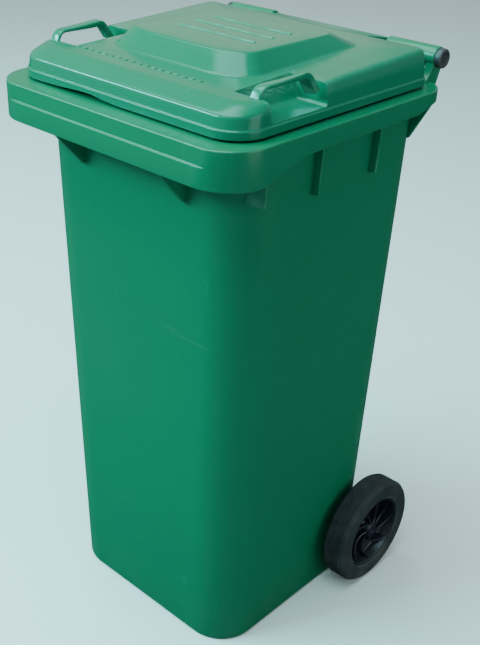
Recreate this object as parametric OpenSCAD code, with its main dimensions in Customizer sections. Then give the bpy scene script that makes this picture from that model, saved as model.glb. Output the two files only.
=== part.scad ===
// Two-wheeled refuse bin of 120 litres: a tapered tub with a comb rim and two moulded hand grips,
// a lid hinged on two pins, and two snap-on wheels on a steel axle.
// Millimetres, +Z up, front towards -Y, origin on the ground at the middle of the whole bin.

/* [Tub] */
// Width of the comb rim
rim_w = 480; // [400:5:580]
// Depth of the comb rim, front to back
rim_d = 475; // [400:5:570]
// Height of the rim's top ledge above the ground
rim_z = 903; // [760:5:1085]
// Radius of the rim's front corners
rim_r = 66; // [45:1:90]
// Radius of the rim's back corners
rim_back_r = 53; // [45:1:70]
// How far the rim stands out from the tub's wall at the sides
rim_side = 27; // [22:1:34]
// How far the rim stands out from the tub's wall at the front
rim_front = 59; // [46:1:72]
// How far the rim stands out from the tub's wall at the back
rim_back = 6; // [5:1:12]
// Corner radius of the tub below the rim
top_r = 74; // [60:1:90]
// Corner radius of the tub at the ground
base_r = 67; // [50:1:80]
// Draft of each side wall over the tub's height
side_draft = 23; // [15:1:30]
// Draft of the front wall over the tub's height
front_draft = 20; // [12:1:26]
// Draft of the back wall over the tub's height
back_draft = 8; // [0:1:12]
// Wall thickness of the tub
wall = 4; // [3:0.5:6]
// Rounding of the tub's bottom edge
foot_r = 8; // [4:1:12]

/* [Rim] */
// Thickness of the rim's ledge and skirt
rim_t = 4; // [3:0.5:6]
// Depth of the comb apron at the front
apron_h = 53; // [44:1:62]
// Depth of the skirt along the sides
skirt_h = 28; // [22:1:34]
// Thickness of the stiffening fins at the sides
fin_t = 4; // [3:0.5:6]
// Thickness of the gussets under the front apron
gusset_t = 8; // [6:0.5:10]
// How far the fins stand out from the side walls
fin_out = 14; // [10:1:18]
// Height of the fins, from the ledge down
fin_h = 104; // [85:1:125]

/* [Grips and hinge] */
// Diameter of the hand grips
grip_d = 32; // [29:1:38]
// Length of each hand grip
grip_len = 90; // [74:1:104]
// Distance from the rim's side to the outer end of the grip
grip_inset = 35; // [28:1:46]
// Height of the hinge axis above the ledge
hinge_up = 32; // [29:1:40]
// Distance of the hinge axis behind the rim
hinge_back = 12; // [10:1:20]
// Thickness of the arms that carry the grips
arm_t = 13; // [10:1:16]
// Diameter of the hinge pins
pin_d = 18; // [15:1:19]
// Diameter of the pin heads
pin_head_d = 29; // [25:1:30]
// Thickness of the pin heads
pin_head_t = 10; // [6:1:12]
// Length of the pin inside the lid's hinge tube
pin_in_lid = 28; // [22:1:34]
// Diameter of the lid's hinge tube
tube_d = 26; // [25:0.5:30]
// Radial clearance of the pins in the lid's hinge tube
pin_clear = 0.08; // [0.02:0.01:0.1]
// Side play between the lid's hinge tube and the arms
tube_play = 1.5; // [1:0.5:3]

/* [Lid] */
// Distance from the rim's edge to the lid's edge at the sides
lid_side = 20; // [15:1:26]
// Distance from the rim's edge to the lid's edge at the front
lid_front = 32; // [24:1:40]
// Distance from the rim's edge to the lid's edge at the back
lid_back = 34; // [30:1:44]
// Radius of the lid's front corners
lid_r = 50; // [40:1:60]
// Radius of the lid's back corners
lid_back_r = 14; // [12:1:40]
// Gap between the ledge and the lid's lip
lid_gap = 3; // [1:0.5:5]
// Height of the lid's lip
lip_h = 9; // [7:1:12]
// Height of the lid's skirt, from the lip's bottom to its shoulder
lid_skirt = 30; // [26:1:36]
// Height from the shoulder to the crest
lid_crest = 10; // [7:1:13]
// Depth of the round front shoulder
lid_brow = 34; // [24:1:42]
// Rise of the lid's face from front to back
lid_rise = 13; // [6:1:16]
// Thickness of the lid
lid_t = 3; // [2.5:0.5:4]
// Width of the raised panel at its foot
panel_w = 260; // [216:2:300]
// Depth of the raised panel at its foot
panel_d = 243; // [206:1:280]
// Distance from the lid's front edge to the raised panel's foot
panel_in = 102; // [92:1:120]
// Height of the raised panel's top above the lid's front crest
panel_h = 29; // [22:1:34]
// Run of the raised panel's sloping sides
panel_slope = 17; // [10:1:24]

/* [Lid handles] */
// Width of each lid handle
strap_w = 18; // [14:1:22]
// Thickness of each lid handle
strap_t = 5; // [4:0.5:6]
// Length of each lid handle between its feet
strap_len = 108; // [92:1:128]
// Height of the lid handles above the pocket's floor
strap_up = 43; // [38:1:48]
// Turn of each lid handle out towards the back, in degrees
strap_turn = 6; // [0:1:8]
// Distance from the lid's edge to the middle of each handle
strap_in = 24; // [20:1:32]
// Distance from the lid's front edge to the middle of each handle
strap_mid = 112; // [104:1:124]
// Distance from the lid's front edge to the handle pocket
pocket_in = 62; // [56:1:74]
// Length of the handle pocket
pocket_len = 112; // [92:1:130]
// Width of the handle pocket at its floor
pocket_w = 52; // [46:1:58]

/* [Wheels] */
// Diameter of the wheels
wheel_d = 200; // [166:2:240]
// Width of the wheels
wheel_w = 45; // [38:1:54]
// Gap between the tub's foot and the wheels
wheel_gap = 17; // [14:1:22]
// Distance from the rim's back to the axle
axle_in = 59; // [50:1:72]
// Diameter of the axle
axle_d = 20; // [17:0.5:24]
// Radial clearance of the hubs on the axle
hub_clear = 0.08; // [0.02:0.01:0.1]
// Radial clearance of the axle in the tub's ribs
rib_clear = 0.2; // [0.1:0.1:0.4]
// Thickness of the rubber tyre
tyre_h = 31; // [24:1:36]
// Width of the tyre's chamfers
tyre_chamfer = 5; // [3:1:8]
// Thickness of the hub's rim
hub_rim = 6; // [5:1:9]
// Recess of the hub's web from the wheel's outer face
web_in = 19; // [14:1:22]
// Thickness of the hub's web
web_t = 4; // [3:0.5:6]
// Number of curved spokes on the hub
spokes = 8; // [5:1:10]
// Diameter of the hub's boss
boss_d = 54; // [50:1:60]
// Distance from the wheel's outer face to the boss's outer end
boss_in = 9; // [6:1:12]
// Thickness of the ribs that hold the axle
rib_t = 6; // [5:0.5:8]

/* [Wheel locks] */
// Diameter of the locking plunger
lock_d = 8; // [7:0.5:9]
// Diameter of the plunger's collar
collar_d = 13; // [12:0.5:14]
// Travel of the plunger as it leaves the axle's groove
lock_travel = 2.4; // [2:0.1:3]
// Depth of the locking groove in the axle
groove_deep = 2; // [1.5:0.1:2.2]

/* [Hidden] */
$fn = 64;

green = "#178a5c";
lid_green = "#2aa37a";
rubber = "#2c2f36";
hub_black = "#1c1e28";
pin_grey = "#57555a";
steel = "#b8bcc0";
tiny = 0.01;       // overlap that joins two solids into one
slack = 0.3;       // running gap beside parts that turn
corner_steps = 8;  // straight pieces in each round corner of an outline
side_steps = 8;    // straight pieces along each side of an outline

// Plan of the whole bin
wheel_r = wheel_d / 2;
back_reach = max(wheel_r - axle_in, hinge_back + grip_d / 2);
rim_y0 = -(rim_d + back_reach) / 2;
rim_y1 = rim_y0 + rim_d;
axle_y = rim_y1 - axle_in;
axle_z = wheel_r;
hinge_y = rim_y1 + hinge_back;
hinge_z = rim_z + hinge_up;

// Tub walls, as [width, front, back, front radius, back radius]
under_z = rim_z - rim_t;
top_w = rim_w - 2 * rim_side;
top_y0 = rim_y0 + rim_front;
top_y1 = rim_y1 - rim_back;
base_w = top_w - 2 * side_draft;
base_y0 = top_y0 + front_draft;
base_y1 = top_y1 - back_draft;

function mix(a, b, t) = a + (b - a) * t;
function ease(t) = let (c = min(1, max(0, t))) c * c * (3 - 2 * c);

// Tub outline at height z, moved in by off
function tub_plan(z, off = 0) = let (t = z / under_z) [
    mix(base_w, top_w, t) - 2 * off,
    mix(base_y0, top_y0, t) + off,
    mix(base_y1, top_y1, t) - off,
    mix(base_r, top_r, t) - off,
    mix(base_r, top_r, t) - off];

// Rim outline, moved in by off
function rim_plan(off = 0) = [rim_w - 2 * off, rim_y0 + off, rim_y1 - off, rim_r - off, rim_back_r - off];

// Lower edge of the rim's skirt: a deep apron in front that rises to the side skirt
apron_back = 44;   // the apron keeps its depth this far back from the front
apron_blend = 113; // and rises over this length
function skirt_z(y) = rim_z - mix(apron_h, skirt_h, ease((y - rim_y0 - apron_back) / apron_blend));

// Points of an outline, counter-clockwise from the front right corner
function outline(p) = let (
        corners = [[p[0] / 2 - p[3], p[1] + p[3], -90, p[3]], [p[0] / 2 - p[4], p[2] - p[4], 0, p[4]],
                   [p[4] - p[0] / 2, p[2] - p[4], 90, p[4]], [p[3] - p[0] / 2, p[1] + p[3], 180, p[3]]])
    [for (k = [0 : 3])
        let (c = corners[k], n = corners[(k + 1) % 4],
             out = [c[0] + c[3] * cos(c[2] + 90), c[1] + c[3] * sin(c[2] + 90)],
             next = [n[0] + n[3] * cos(n[2]), n[1] + n[3] * sin(n[2])])
        each concat(
            [for (i = [0 : corner_steps]) let (a = c[2] + 90 * i / corner_steps)
                [c[0] + c[3] * cos(a), c[1] + c[3] * sin(a)]],
            [for (i = [1 : side_steps - 1]) mix(out, next, i / side_steps)])];

// One ring of a shell: an outline at a height
function ring(p, z) = [for (q = outline(p)) [q[0], q[1], z]];

// A closed solid skinned over a list of rings, capped at both ends
module skin(rings) {
    n = len(rings[0]);
    last = len(rings) - 1;
    sides = [for (r = [0 : last - 1], i = [0 : n - 1]) let (j = (i + 1) % n)
        each [[r * n + i, (r + 1) * n + i, (r + 1) * n + j], [r * n + i, (r + 1) * n + j, r * n + j]]];
    // the caps start in the middle of a corner, so that no three of a triangle's points are in line
    mid = corner_steps / 2;
    first_cap = [for (i = [0 : n - 1]) (i + mid) % n];
    last_cap = [for (i = [n - 1 : -1 : 0]) last * n + (i + mid) % n];
    polyhedron(points = [for (r = rings) each r], faces = concat(sides, [first_cap, last_cap]));
}

// A profile in (y, z), extruded along X between two places
module along_x(x0, x1) {
    translate([x0, 0, 0])
        rotate([90, 0, 90])
            linear_extrude(height = x1 - x0)
                children();
}

// A cylinder along X between two places
module bar_x(d, x0, x1, y, z) {
    translate([x0, y, z])
        rotate([0, 90, 0])
            cylinder(d = d, h = x1 - x0);
}

// The same on both sides of the bin
module both_sides() {
    children();
    mirror([1, 0, 0])
        children();
}

// ---- Tub ----

foot_steps = 3;
function foot_rings(off, z0) = [for (i = [0 : foot_steps]) let (a = 90 * i / foot_steps)
    ring(tub_plan(z0 + foot_r * (1 - cos(a)), off + foot_r * (1 - sin(a))), z0 + foot_r * (1 - cos(a)))];

edge_r = 2; // rounding of the rim's top edge
edge_mid = edge_r * 0.3; // inset of the middle of that rounding
module tub() {
    skirt_ring = function (off) [for (q = outline(rim_plan(off))) [q[0], q[1], skirt_z(q[1])]];
    inner_foot = foot_rings(wall, wall);
    skin(concat(
        foot_rings(0, 0),
        [ring(tub_plan(under_z), under_z),
         ring(rim_plan(rim_t), under_z),
         skirt_ring(rim_t),
         skirt_ring(0),
         ring(rim_plan(0), rim_z - edge_r),
         ring(rim_plan(edge_mid), rim_z - edge_mid),
         ring(rim_plan(edge_r), rim_z),
         ring(tub_plan(under_z, wall - edge_r), rim_z),
         ring(tub_plan(under_z, wall), rim_z - edge_r)],
        [for (i = [foot_steps : -1 : 0]) inner_foot[i]]));
}

// Full block that the tub's wall encloses
module tub_block() {
    skin([ring(tub_plan(0), 0), ring(tub_plan(under_z), under_z)]);
}

// Recess across the back of the foot, where the axle lies
recess_gap = 16;   // space around the axle
recess_slope = 46; // rise of the recess's roof towards the back
recess_x = rim_w;
module recess_profile(off = 0) {
    y0 = axle_y - axle_d / 2 - recess_gap - off;
    z1 = axle_z + axle_d / 2 + recess_gap + off;
    y1 = rim_y1 + wheel_r;
    polygon([[y0, -wheel_r], [y1, -wheel_r], [y1, z1 + recess_slope * (y1 - y0) / (base_y1 - y0)], [y0, z1]]);
}

module recess_walls() {
    intersection() {
        tub_block();
        difference() {
            along_x(-recess_x / 2, recess_x / 2)
                recess_profile(wall);
            along_x(-recess_x, recess_x)
                recess_profile();
        }
    }
}

// Ribs in the recess that hold the axle
rib_x = [base_w / 2 - wall - rib_t, base_w / 6];
rib_under = 0.9 * axle_d;  // how far the ribs reach below the middle of the axle
rib_behind = 0.8 * axle_d; // and behind it
module axle_ribs() {
    room = axle_d / 2 + recess_gap + wall / 2;
    intersection() {
        tub_block();
        both_sides()
            for (x = rib_x)
                along_x(x, x + rib_t)
                    polygon([
                        [axle_y - room, axle_z - rib_under],
                        [axle_y + rib_behind, axle_z - rib_under],
                        [axle_y + rib_behind, axle_z + room - wall / 2 + recess_slope],
                        [axle_y - room, axle_z + room]]);
    }
}

// Stiffening fins between the wall and the rim's ledge
fin_root = 2;    // depth of a fin's root in the wall
fin_lean = 1;    // how much further out a fin is at the skirt than at its foot
gusset_low = 4;  // how much lower the front gussets start than the side fins
gusset_toe = 3;  // how far a front gusset's foot stands out from the wall
gusset_x = rim_w * 0.214;
// Side fins, as [distance behind the rim's front, how much shorter, depth of the root]
side_fins = [[rim_d * 0.18, 12, 20], [rim_d * 0.415, 0, fin_root], [rim_d * 0.69, 0, fin_root]];
module fins() {
    fin_tip = rim_z - fin_h;
    both_sides() {
        along_x(gusset_x - gusset_t / 2, gusset_x + gusset_t / 2)
            polygon([
                [top_y0 + 2 * fin_root, fin_tip - gusset_low],
                [top_y0 - gusset_toe, fin_tip - gusset_low],
                [rim_y0 + rim_t / 2, rim_z - apron_h + 2 * rim_t],
                [rim_y0 + rim_t / 2, under_z + tiny],
                [top_y0 + 2 * fin_root, under_z + tiny]]);
        for (fin = side_fins)
            side_fin(rim_y0 + fin[0], rim_z - fin_h + fin[1], fin[2]);
    }
}

module side_fin(y, foot, root) {
    wall_x = tub_plan(foot)[0] / 2;
    translate([0, y + fin_t / 2, 0])
        rotate([90, 0, 0])
            linear_extrude(height = fin_t)
                polygon([
                    [wall_x - root, foot],
                    [wall_x + fin_out, foot + fin_t],
                    [wall_x + fin_out + fin_lean, rim_z - skirt_h],
                    [rim_w / 2 - rim_t / 2, rim_z - skirt_h + rim_t],
                    [rim_w / 2 - rim_t / 2, under_z + tiny],
                    [top_w / 2 - root, under_z + tiny]]);
}

// Gussets under the rim's back corners, in line with the grips
gusset_drop = 78; // how far below the ledge they start
gusset_root = 16; // depth of their root, from the line of the rim's wall
gusset_foot = 7;  // width of their foot
gusset_back = 42; // how far they stand in front of the rim's back edge
module corner_gussets() {
    y = rim_y1 - gusset_back;
    both_sides()
        translate([0, y + fin_t / 2, 0])
            rotate([90, 0, 0])
                linear_extrude(height = fin_t)
                    polygon([
                        [top_w / 2 - gusset_root, rim_z - gusset_drop],
                        [top_w / 2 - gusset_root + gusset_foot, rim_z - gusset_drop],
                        [rim_w / 2 - rim_t / 2, rim_z - skirt_h + 2 * rim_t],
                        [rim_w / 2 - rim_t / 2, under_z + tiny],
                        [top_w / 2 - gusset_root, under_z + tiny]]);
}

// Hand grips, each between two arms that rise from the back of the rim
grip_x1 = rim_w / 2 - grip_inset;
grip_x0 = grip_x1 - grip_len;
arm_low = 45;                  // how far below the ledge the arms take root
arm_under = [0.45, -0.22];     // where an arm meets its grip underneath, in grip diameters from the axis
arm_over = [-0.4, 0.3];        // and on top
arm_front = 0.8 * grip_d;      // how far in front of the rim's back the arms begin
module grip() {
    root_y = rim_y1 - rim_back - wall - edge_r;
    for (x = [grip_x0, grip_x1 - arm_t])
        along_x(x, x + arm_t)
            polygon([
                [root_y, rim_z - arm_low],
                [rim_y1, rim_z - arm_low],
                [hinge_y + grip_d * arm_under[0], hinge_z + grip_d * arm_under[1]],
                [hinge_y + grip_d * arm_over[0], hinge_z + grip_d * arm_over[1]],
                [rim_y1 - arm_front, rim_z + edge_r],
                [root_y, under_z]]);
    bar_x(grip_d, grip_x0, grip_x1, hinge_y, hinge_z);
}

module body_shell() {
    color(green)
        difference() {
            union() {
                difference() {
                    tub();
                    along_x(-recess_x, recess_x)
                        recess_profile();
                }
                recess_walls();
                axle_ribs();
                fins();
                corner_gussets();
                both_sides()
                    grip();
            }
            both_sides()
                bar_x(pin_d, grip_x0 - 1, grip_x1 + 1, hinge_y, hinge_z);
            bar_x(axle_d + 2 * rib_clear, -base_w / 2, base_w / 2, axle_y, axle_z);
        }
}

// ---- Lid ----

lid_w = rim_w - 2 * lid_side;
lid_y0 = rim_y0 + lid_front;
lid_y1 = rim_y1 - lid_back;
lid_z0 = rim_z + lid_gap;
shoulder_z = lid_z0 + lid_skirt;
crest_z = shoulder_z + lid_crest;
lip_in = 2;   // step from the lip to the skirt
crest_in = 7; // step from the lid's edge to the crest at the sides
// Front shoulder between the skirt and the crest, as [share of the brow, share of the rise, step in]
shoulder = [[0.09, -0.2, 3], [0.32, 0.35, 4], [0.66, 0.72, 5.5]];
panel_y0 = lid_y0 + panel_in;
panel_y1 = panel_y0 + panel_d;
panel_front_r = 62; // rounding of the panel's front corners
panel_back_r = 20;  // rounding of its back corners
panel_back_slope = 31; // run of the panel's slope at the back
panel_edge = 2.5;      // rounding of the edge of the panel's top
panel_z = crest_z + panel_h;

function lid_plan(off, brow = 0) = [lid_w - 2 * off, lid_y0 + off + brow, lid_y1 - off,
                                   lid_r - off, lid_back_r - off];
function panel_plan(in) = [panel_w - 2 * in, panel_y0 + in, panel_y1 - in * panel_back_slope / panel_slope,
                           panel_front_r - in / 2, panel_back_r - in / 4];
// Height of the lid's face: it rises from the front crest to the back
function face_z(y) = crest_z + lid_rise * (y - lid_y0 - lid_brow) / (lid_y1 - lid_y0 - lid_brow);
function sloped(p, dz) = [for (q = outline(p)) [q[0], q[1], face_z(q[1]) + dz]];

// Rings of the lid from the lip's edge to the panel's top, thinned by t
function lid_rings(t) = [
    ring(lid_plan(t), lid_z0),
    ring(lid_plan(t), lid_z0 + lip_h - t),
    ring(lid_plan(lip_in + t), lid_z0 + lip_h - t),
    for (s = shoulder) ring(lid_plan(s[2] + t, lid_brow * s[0]), shoulder_z + lid_crest * s[1] - t),
    sloped(lid_plan(crest_in + t, lid_brow), -t),
    sloped(panel_plan(t), -t),
    ring(panel_plan(panel_slope - panel_edge + t), panel_z - panel_edge - t),
    ring(panel_plan(panel_slope + panel_edge + t), panel_z - t)];

module lid_cover() {
    outer = lid_rings(0);
    inner = lid_rings(lid_t);
    last = len(outer) - 1;
    skin(concat([for (i = [last : -1 : 0]) inner[i]], outer));
}

// Pocket under each lid handle, open to the side
pocket_y0 = lid_y0 + pocket_in;
pocket_y1 = pocket_y0 + pocket_len;
pocket_z = lid_z0 + lip_h + lid_t;
pocket_rake = 16; // the pocket's inner wall leans in by this much
pocket_x0 = lid_w / 2 - pocket_w;
module pocket(off = 0) {
    translate([0, pocket_y1 + off, 0])
        rotate([90, 0, 0])
            linear_extrude(height = pocket_len + 2 * off)
                polygon([
                    [pocket_x0 - off, pocket_z - off],
                    [lid_w, pocket_z - off],
                    [lid_w, panel_z],
                    [pocket_x0 - off - pocket_rake * (panel_z - pocket_z) / lid_skirt, panel_z]]);
}

// Space under the lid's face and inside its skirt, a little short of both
skin_in = 1;
module under_face() {
    intersection() {
        along_x(0, lid_w)
            polygon([
                [lid_y0, lid_z0],
                [lid_y1, lid_z0],
                [lid_y1, face_z(lid_y1) - skin_in],
                [lid_y0, face_z(lid_y0) - skin_in]]);
        translate([0, lid_y1, 0])
            rotate([90, 0, 0])
                linear_extrude(height = lid_y1 - lid_y0)
                    polygon([
                        [0, lid_z0],
                        [lid_w / 2 - lip_in - 2 * skin_in, lid_z0],
                        [lid_w / 2 - lip_in - 3 * skin_in, shoulder_z - 3 * skin_in],
                        [lid_w / 2 - crest_in - 2 * skin_in, crest_z - skin_in],
                        [lid_w / 2 - crest_in - 3 * skin_in, panel_z],
                        [0, panel_z]]);
    }
}

module pocket_walls() {
    intersection() {
        difference() {
            pocket(lid_t);
            pocket();
        }
        under_face();
    }
}

// Lid handle: a strap that arches over the pocket, deeper towards the back
strap_z = pocket_z + strap_up;
foot_run = 10;   // run of the strap's sloping ends
strap_rise = 6;  // how much higher its back end is than its front end
strap_nose = 3;  // how far its top starts beyond its sloping ends
module strap() {
    half = strap_len / 2;
    low = face_z(pocket_y0) - strap_t;
    translate([lid_w / 2 - strap_in, lid_y0 + strap_mid, 0])
        rotate([0, 0, -strap_turn])
            along_x(-strap_w / 2, strap_w / 2)
                polygon([
                    [-half - strap_t, low],
                    [-half, low],
                    [-half + foot_run, strap_z - strap_t],
                    [half - foot_run, strap_z - strap_t + 1],
                    [half, low],
                    [half + strap_t, low],
                    [half - foot_run + strap_nose, strap_z + strap_rise],
                    [half - 2 * foot_run, strap_z + strap_rise],
                    [0, strap_z + strap_rise / 3],
                    [-half + foot_run - strap_nose, strap_z]]);
}

// Neck and tube that carry the lid on its pins
tube_x = grip_x0 - tube_play;
neck_t = 5;
neck_root = 9;   // how far the neck reaches in from the lid's back edge
neck_sag = 4;    // how much lower its underside is there
module hinge_neck() {
    back_z = face_z(lid_y1);
    tube_top = hinge_z + tube_d / 2 - slack;
    along_x(-tube_x, tube_x)
        polygon([
            [lid_y1 - neck_root, back_z - neck_t],
            [lid_y1 - neck_root, back_z - slack],
            [lid_y1 - neck_root / 2, back_z - 2 * slack],
            [hinge_y + neck_t / 2, tube_top],
            [hinge_y, tube_top - neck_t],
            [lid_y1 - skin_in, back_z - neck_t - neck_sag]]);
    bar_x(tube_d, -tube_x, tube_x, hinge_y, hinge_z);
}

module lid() {
    color(lid_green)
        difference() {
            union() {
                difference() {
                    lid_cover();
                    both_sides()
                        pocket();
                }
                both_sides() {
                    pocket_walls();
                    strap();
                }
                hinge_neck();
            }
            both_sides()
                bar_x(pin_d + 2 * pin_clear, tube_x - pin_in_lid - pin_lead, tube_x + 1, hinge_y, hinge_z);
        }
}

// Hinge pin, pushed in from the grip's outer end
pin_lead = 2;  // chamfer of its inner end
head_edge = 3; // chamfer of its head
module hinge_pin() {
    color(pin_grey)
        translate([0, hinge_y, hinge_z])
            rotate([0, 90, 0])
                rotate_extrude()
                    polygon([
                        [0, tube_x - pin_in_lid],
                        [pin_d / 2 - pin_lead, tube_x - pin_in_lid],
                        [pin_d / 2, tube_x - pin_in_lid + pin_lead],
                        [pin_d / 2, grip_x1],
                        [pin_head_d / 2, grip_x1],
                        [pin_head_d / 2, grip_x1 + pin_head_t - head_edge],
                        [pin_head_d / 2 - head_edge, grip_x1 + pin_head_t],
                        [0, grip_x1 + pin_head_t]]);
}

// ---- Wheels ----

wheel_x0 = base_w / 2 + wheel_gap;
wheel_x1 = wheel_x0 + wheel_w;
hub_r = wheel_r - tyre_h;
boss_x1 = wheel_x1 - boss_in;
axle_x1 = boss_x1 - 6; // the axle ends this far inside the boss
axle_edge = 1.5;       // chamfer of its ends
boss_end_r = boss_d / 4;
hub_lip = 3;           // step between the faces of the tyre and of the hub
lock_x = wheel_x0 + lock_d + 2;

// Shape turned about the wheel's axis: profiles are (radius, x)
module turned() {
    translate([0, axle_y, axle_z])
        rotate([0, 90, 0])
            rotate_extrude()
                children();
}

module axle() {
    groove_w = lock_d + 1;
    color(steel)
        turned()
            polygon(concat(
                [[0, -axle_x1], [axle_d / 2 - axle_edge, -axle_x1], [axle_d / 2, axle_edge - axle_x1]],
                [[axle_d / 2, -lock_x - groove_w / 2], [axle_d / 2 - groove_deep, -lock_x - groove_w / 2],
                 [axle_d / 2 - groove_deep, -lock_x + groove_w / 2], [axle_d / 2, -lock_x + groove_w / 2]],
                [[axle_d / 2, lock_x - groove_w / 2], [axle_d / 2 - groove_deep, lock_x - groove_w / 2],
                 [axle_d / 2 - groove_deep, lock_x + groove_w / 2], [axle_d / 2, lock_x + groove_w / 2]],
                [[axle_d / 2, axle_x1 - axle_edge], [axle_d / 2 - axle_edge, axle_x1], [0, axle_x1]]));
}

// Sleeve between the outer rib and the hub
spacer_x0 = rib_x[0] + rib_t;
spacer_r = axle_d / 2 + 4;
module axle_spacer() {
    color(pin_grey)
        turned()
            polygon([
                [axle_d / 2 + slack / 2, spacer_x0],
                [spacer_r, spacer_x0],
                [spacer_r, wheel_x0 - slack],
                [axle_d / 2 + slack / 2, wheel_x0 - slack]]);
}

spoke_t = 4.5;
spoke_arc_r = 46; // radius of the curve of a spoke
module spoke() {
    // an arc that leaves the boss and bends round to the hub's rim
    reach = hub_r - hub_rim;
    intersection() {
        turned()
            polygon([[boss_end_r, wheel_x1 - web_in - 1], [reach + 1, wheel_x1 - web_in - 1],
                     [reach + 1, wheel_x1 - hub_lip - 2], [boss_end_r, wheel_x1 - boss_in - 1]]);
        translate([wheel_x1 - web_in - 1, axle_y, axle_z])
            rotate([0, 90, 0])
                translate([boss_end_r, -spoke_arc_r, 0])
                    difference() {
                        cylinder(r = spoke_arc_r + spoke_t / 2, h = web_in);
                        translate([0, 0, -1])
                            cylinder(r = spoke_arc_r - spoke_t / 2, h = web_in + 2);
                        translate([-2 * reach, -2 * reach, -1])
                            cube([4 * reach, 2 * reach, web_in + 2]);
                        translate([-2 * reach - 1, -reach, -1])
                            cube([2 * reach, 4 * reach, web_in + 2]);
                    }
    }
}

cap_t = 3;
cap_dome = 2.5; // height of the cap's dome
cap_stem_d = axle_d - 4;
module wheel_hub() {
    web_x = wheel_x1 - web_in;
    color(hub_black)
        difference() {
            union() {
                turned()
                    polygon([
                        [0, wheel_x0], [boss_d / 2, wheel_x0], [boss_d / 2, web_x - web_t],
                        [hub_r - hub_rim, web_x - web_t], [hub_r - hub_rim, wheel_x0 + hub_lip],
                        [hub_r, wheel_x0 + hub_lip], [hub_r, wheel_x1 - hub_lip],
                        [hub_r - hub_rim, wheel_x1 - hub_lip], [hub_r - hub_rim - 2, web_x],
                        [boss_end_r + 2, web_x], [boss_end_r, boss_x1], [0, boss_x1]]);
                for (k = [0 : spokes - 1])
                    translate([0, axle_y, axle_z])
                        rotate([360 * k / spokes, 0, 0])
                            translate([0, -axle_y, -axle_z])
                                spoke();
            }
            bar_x(axle_d + 2 * hub_clear, wheel_x0 - 1, axle_x1 + 1, axle_y, axle_z);
            bar_x(cap_stem_d, axle_x1, boss_x1 + 1, axle_y, axle_z);
            translate([lock_x, axle_y, axle_z])
                cylinder(d = lock_d + 2 * hub_clear, h = boss_d);
            translate([lock_x, axle_y, axle_z + collar_z0])
                cylinder(d = collar_d + 2 * slack, h = boss_d);
        }
}

module wheel_tyre() {
    color(rubber)
        turned()
            polygon([
                [hub_r, wheel_x0],
                [wheel_r - tyre_chamfer, wheel_x0],
                [wheel_r, wheel_x0 + 1.4 * tyre_chamfer],
                [wheel_r, wheel_x1 - 1.4 * tyre_chamfer],
                [wheel_r - tyre_chamfer, wheel_x1],
                [hub_r, wheel_x1]]);
}

// Plug that closes the outer end of the hub's bore
module hub_cap() {
    color(hub_black)
        turned()
            polygon([[0, boss_x1 - cap_t], [cap_stem_d / 2, boss_x1 - cap_t], [cap_stem_d / 2, boss_x1],
                     [boss_end_r - 1, boss_x1], [boss_end_r - 2, boss_x1 + cap_dome - 0.5],
                     [0, boss_x1 + cap_dome]]);
}

// Spring-loaded lock: a plunger in the hub drops into the axle's groove
collar_z0 = axle_d / 2 + 5;
collar_t = 2;
bush_t = 3;
bush_z0 = boss_d / 2 - bush_t;
head_z0 = boss_d / 2 + 0.4 * lock_travel;
head_t = 3;
stem_d = lock_d - 2; // the plunger's stem beyond its collar
spring_in = collar_d / 2 - 2;
spring_out = collar_d / 2 - 0.5;
module lock_turned() {
    translate([lock_x, axle_y, axle_z])
        rotate_extrude()
            children();
}

module lock_plunger() {
    tip = axle_d / 2 - groove_deep + slack;
    color(pin_grey)
        lock_turned()
            polygon([
                [0, tip], [stem_d / 2, tip], [lock_d / 2, tip + 1],
                [lock_d / 2, collar_z0], [collar_d / 2, collar_z0], [collar_d / 2, collar_z0 + collar_t],
                [stem_d / 2, collar_z0 + collar_t], [stem_d / 2, head_z0],
                [collar_d / 2 - 1, head_z0], [collar_d / 2 - 1, head_z0 + head_t], [0, head_z0 + head_t]]);
}

module lock_spring() {
    color(steel)
        lock_turned()
            polygon([
                [spring_in, collar_z0 + collar_t], [spring_out, collar_z0 + collar_t],
                [spring_out, bush_z0], [spring_in, bush_z0]]);
}

module lock_bush() {
    color(hub_black)
        lock_turned()
            polygon([
                [stem_d / 2 + slack, bush_z0], [collar_d / 2 + slack, bush_z0],
                [collar_d / 2 + slack, bush_z0 + bush_t], [stem_d / 2 + slack, bush_z0 + bush_t]]);
}

module other_side() {
    mirror([1, 0, 0])
        children();
}

body_shell();
lid();
hinge_pin();  // hinge_pin_right
other_side() hinge_pin();  // hinge_pin_left
axle();
axle_spacer();  // axle_spacer_right
other_side() axle_spacer();  // axle_spacer_left
wheel_hub();  // wheel_hub_right
other_side() wheel_hub();  // wheel_hub_left
wheel_tyre();  // wheel_tyre_right
other_side() wheel_tyre();  // wheel_tyre_left
hub_cap();  // hub_cap_right
other_side() hub_cap();  // hub_cap_left
lock_plunger();  // lock_plunger_right
other_side() lock_plunger();  // lock_plunger_left
lock_spring();  // lock_spring_right
other_side() lock_spring();  // lock_spring_left
lock_bush();  // lock_bush_right
other_side() lock_bush();  // lock_bush_left
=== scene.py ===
import math

import bmesh
import bpy
from mathutils import Matrix, Vector


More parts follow.
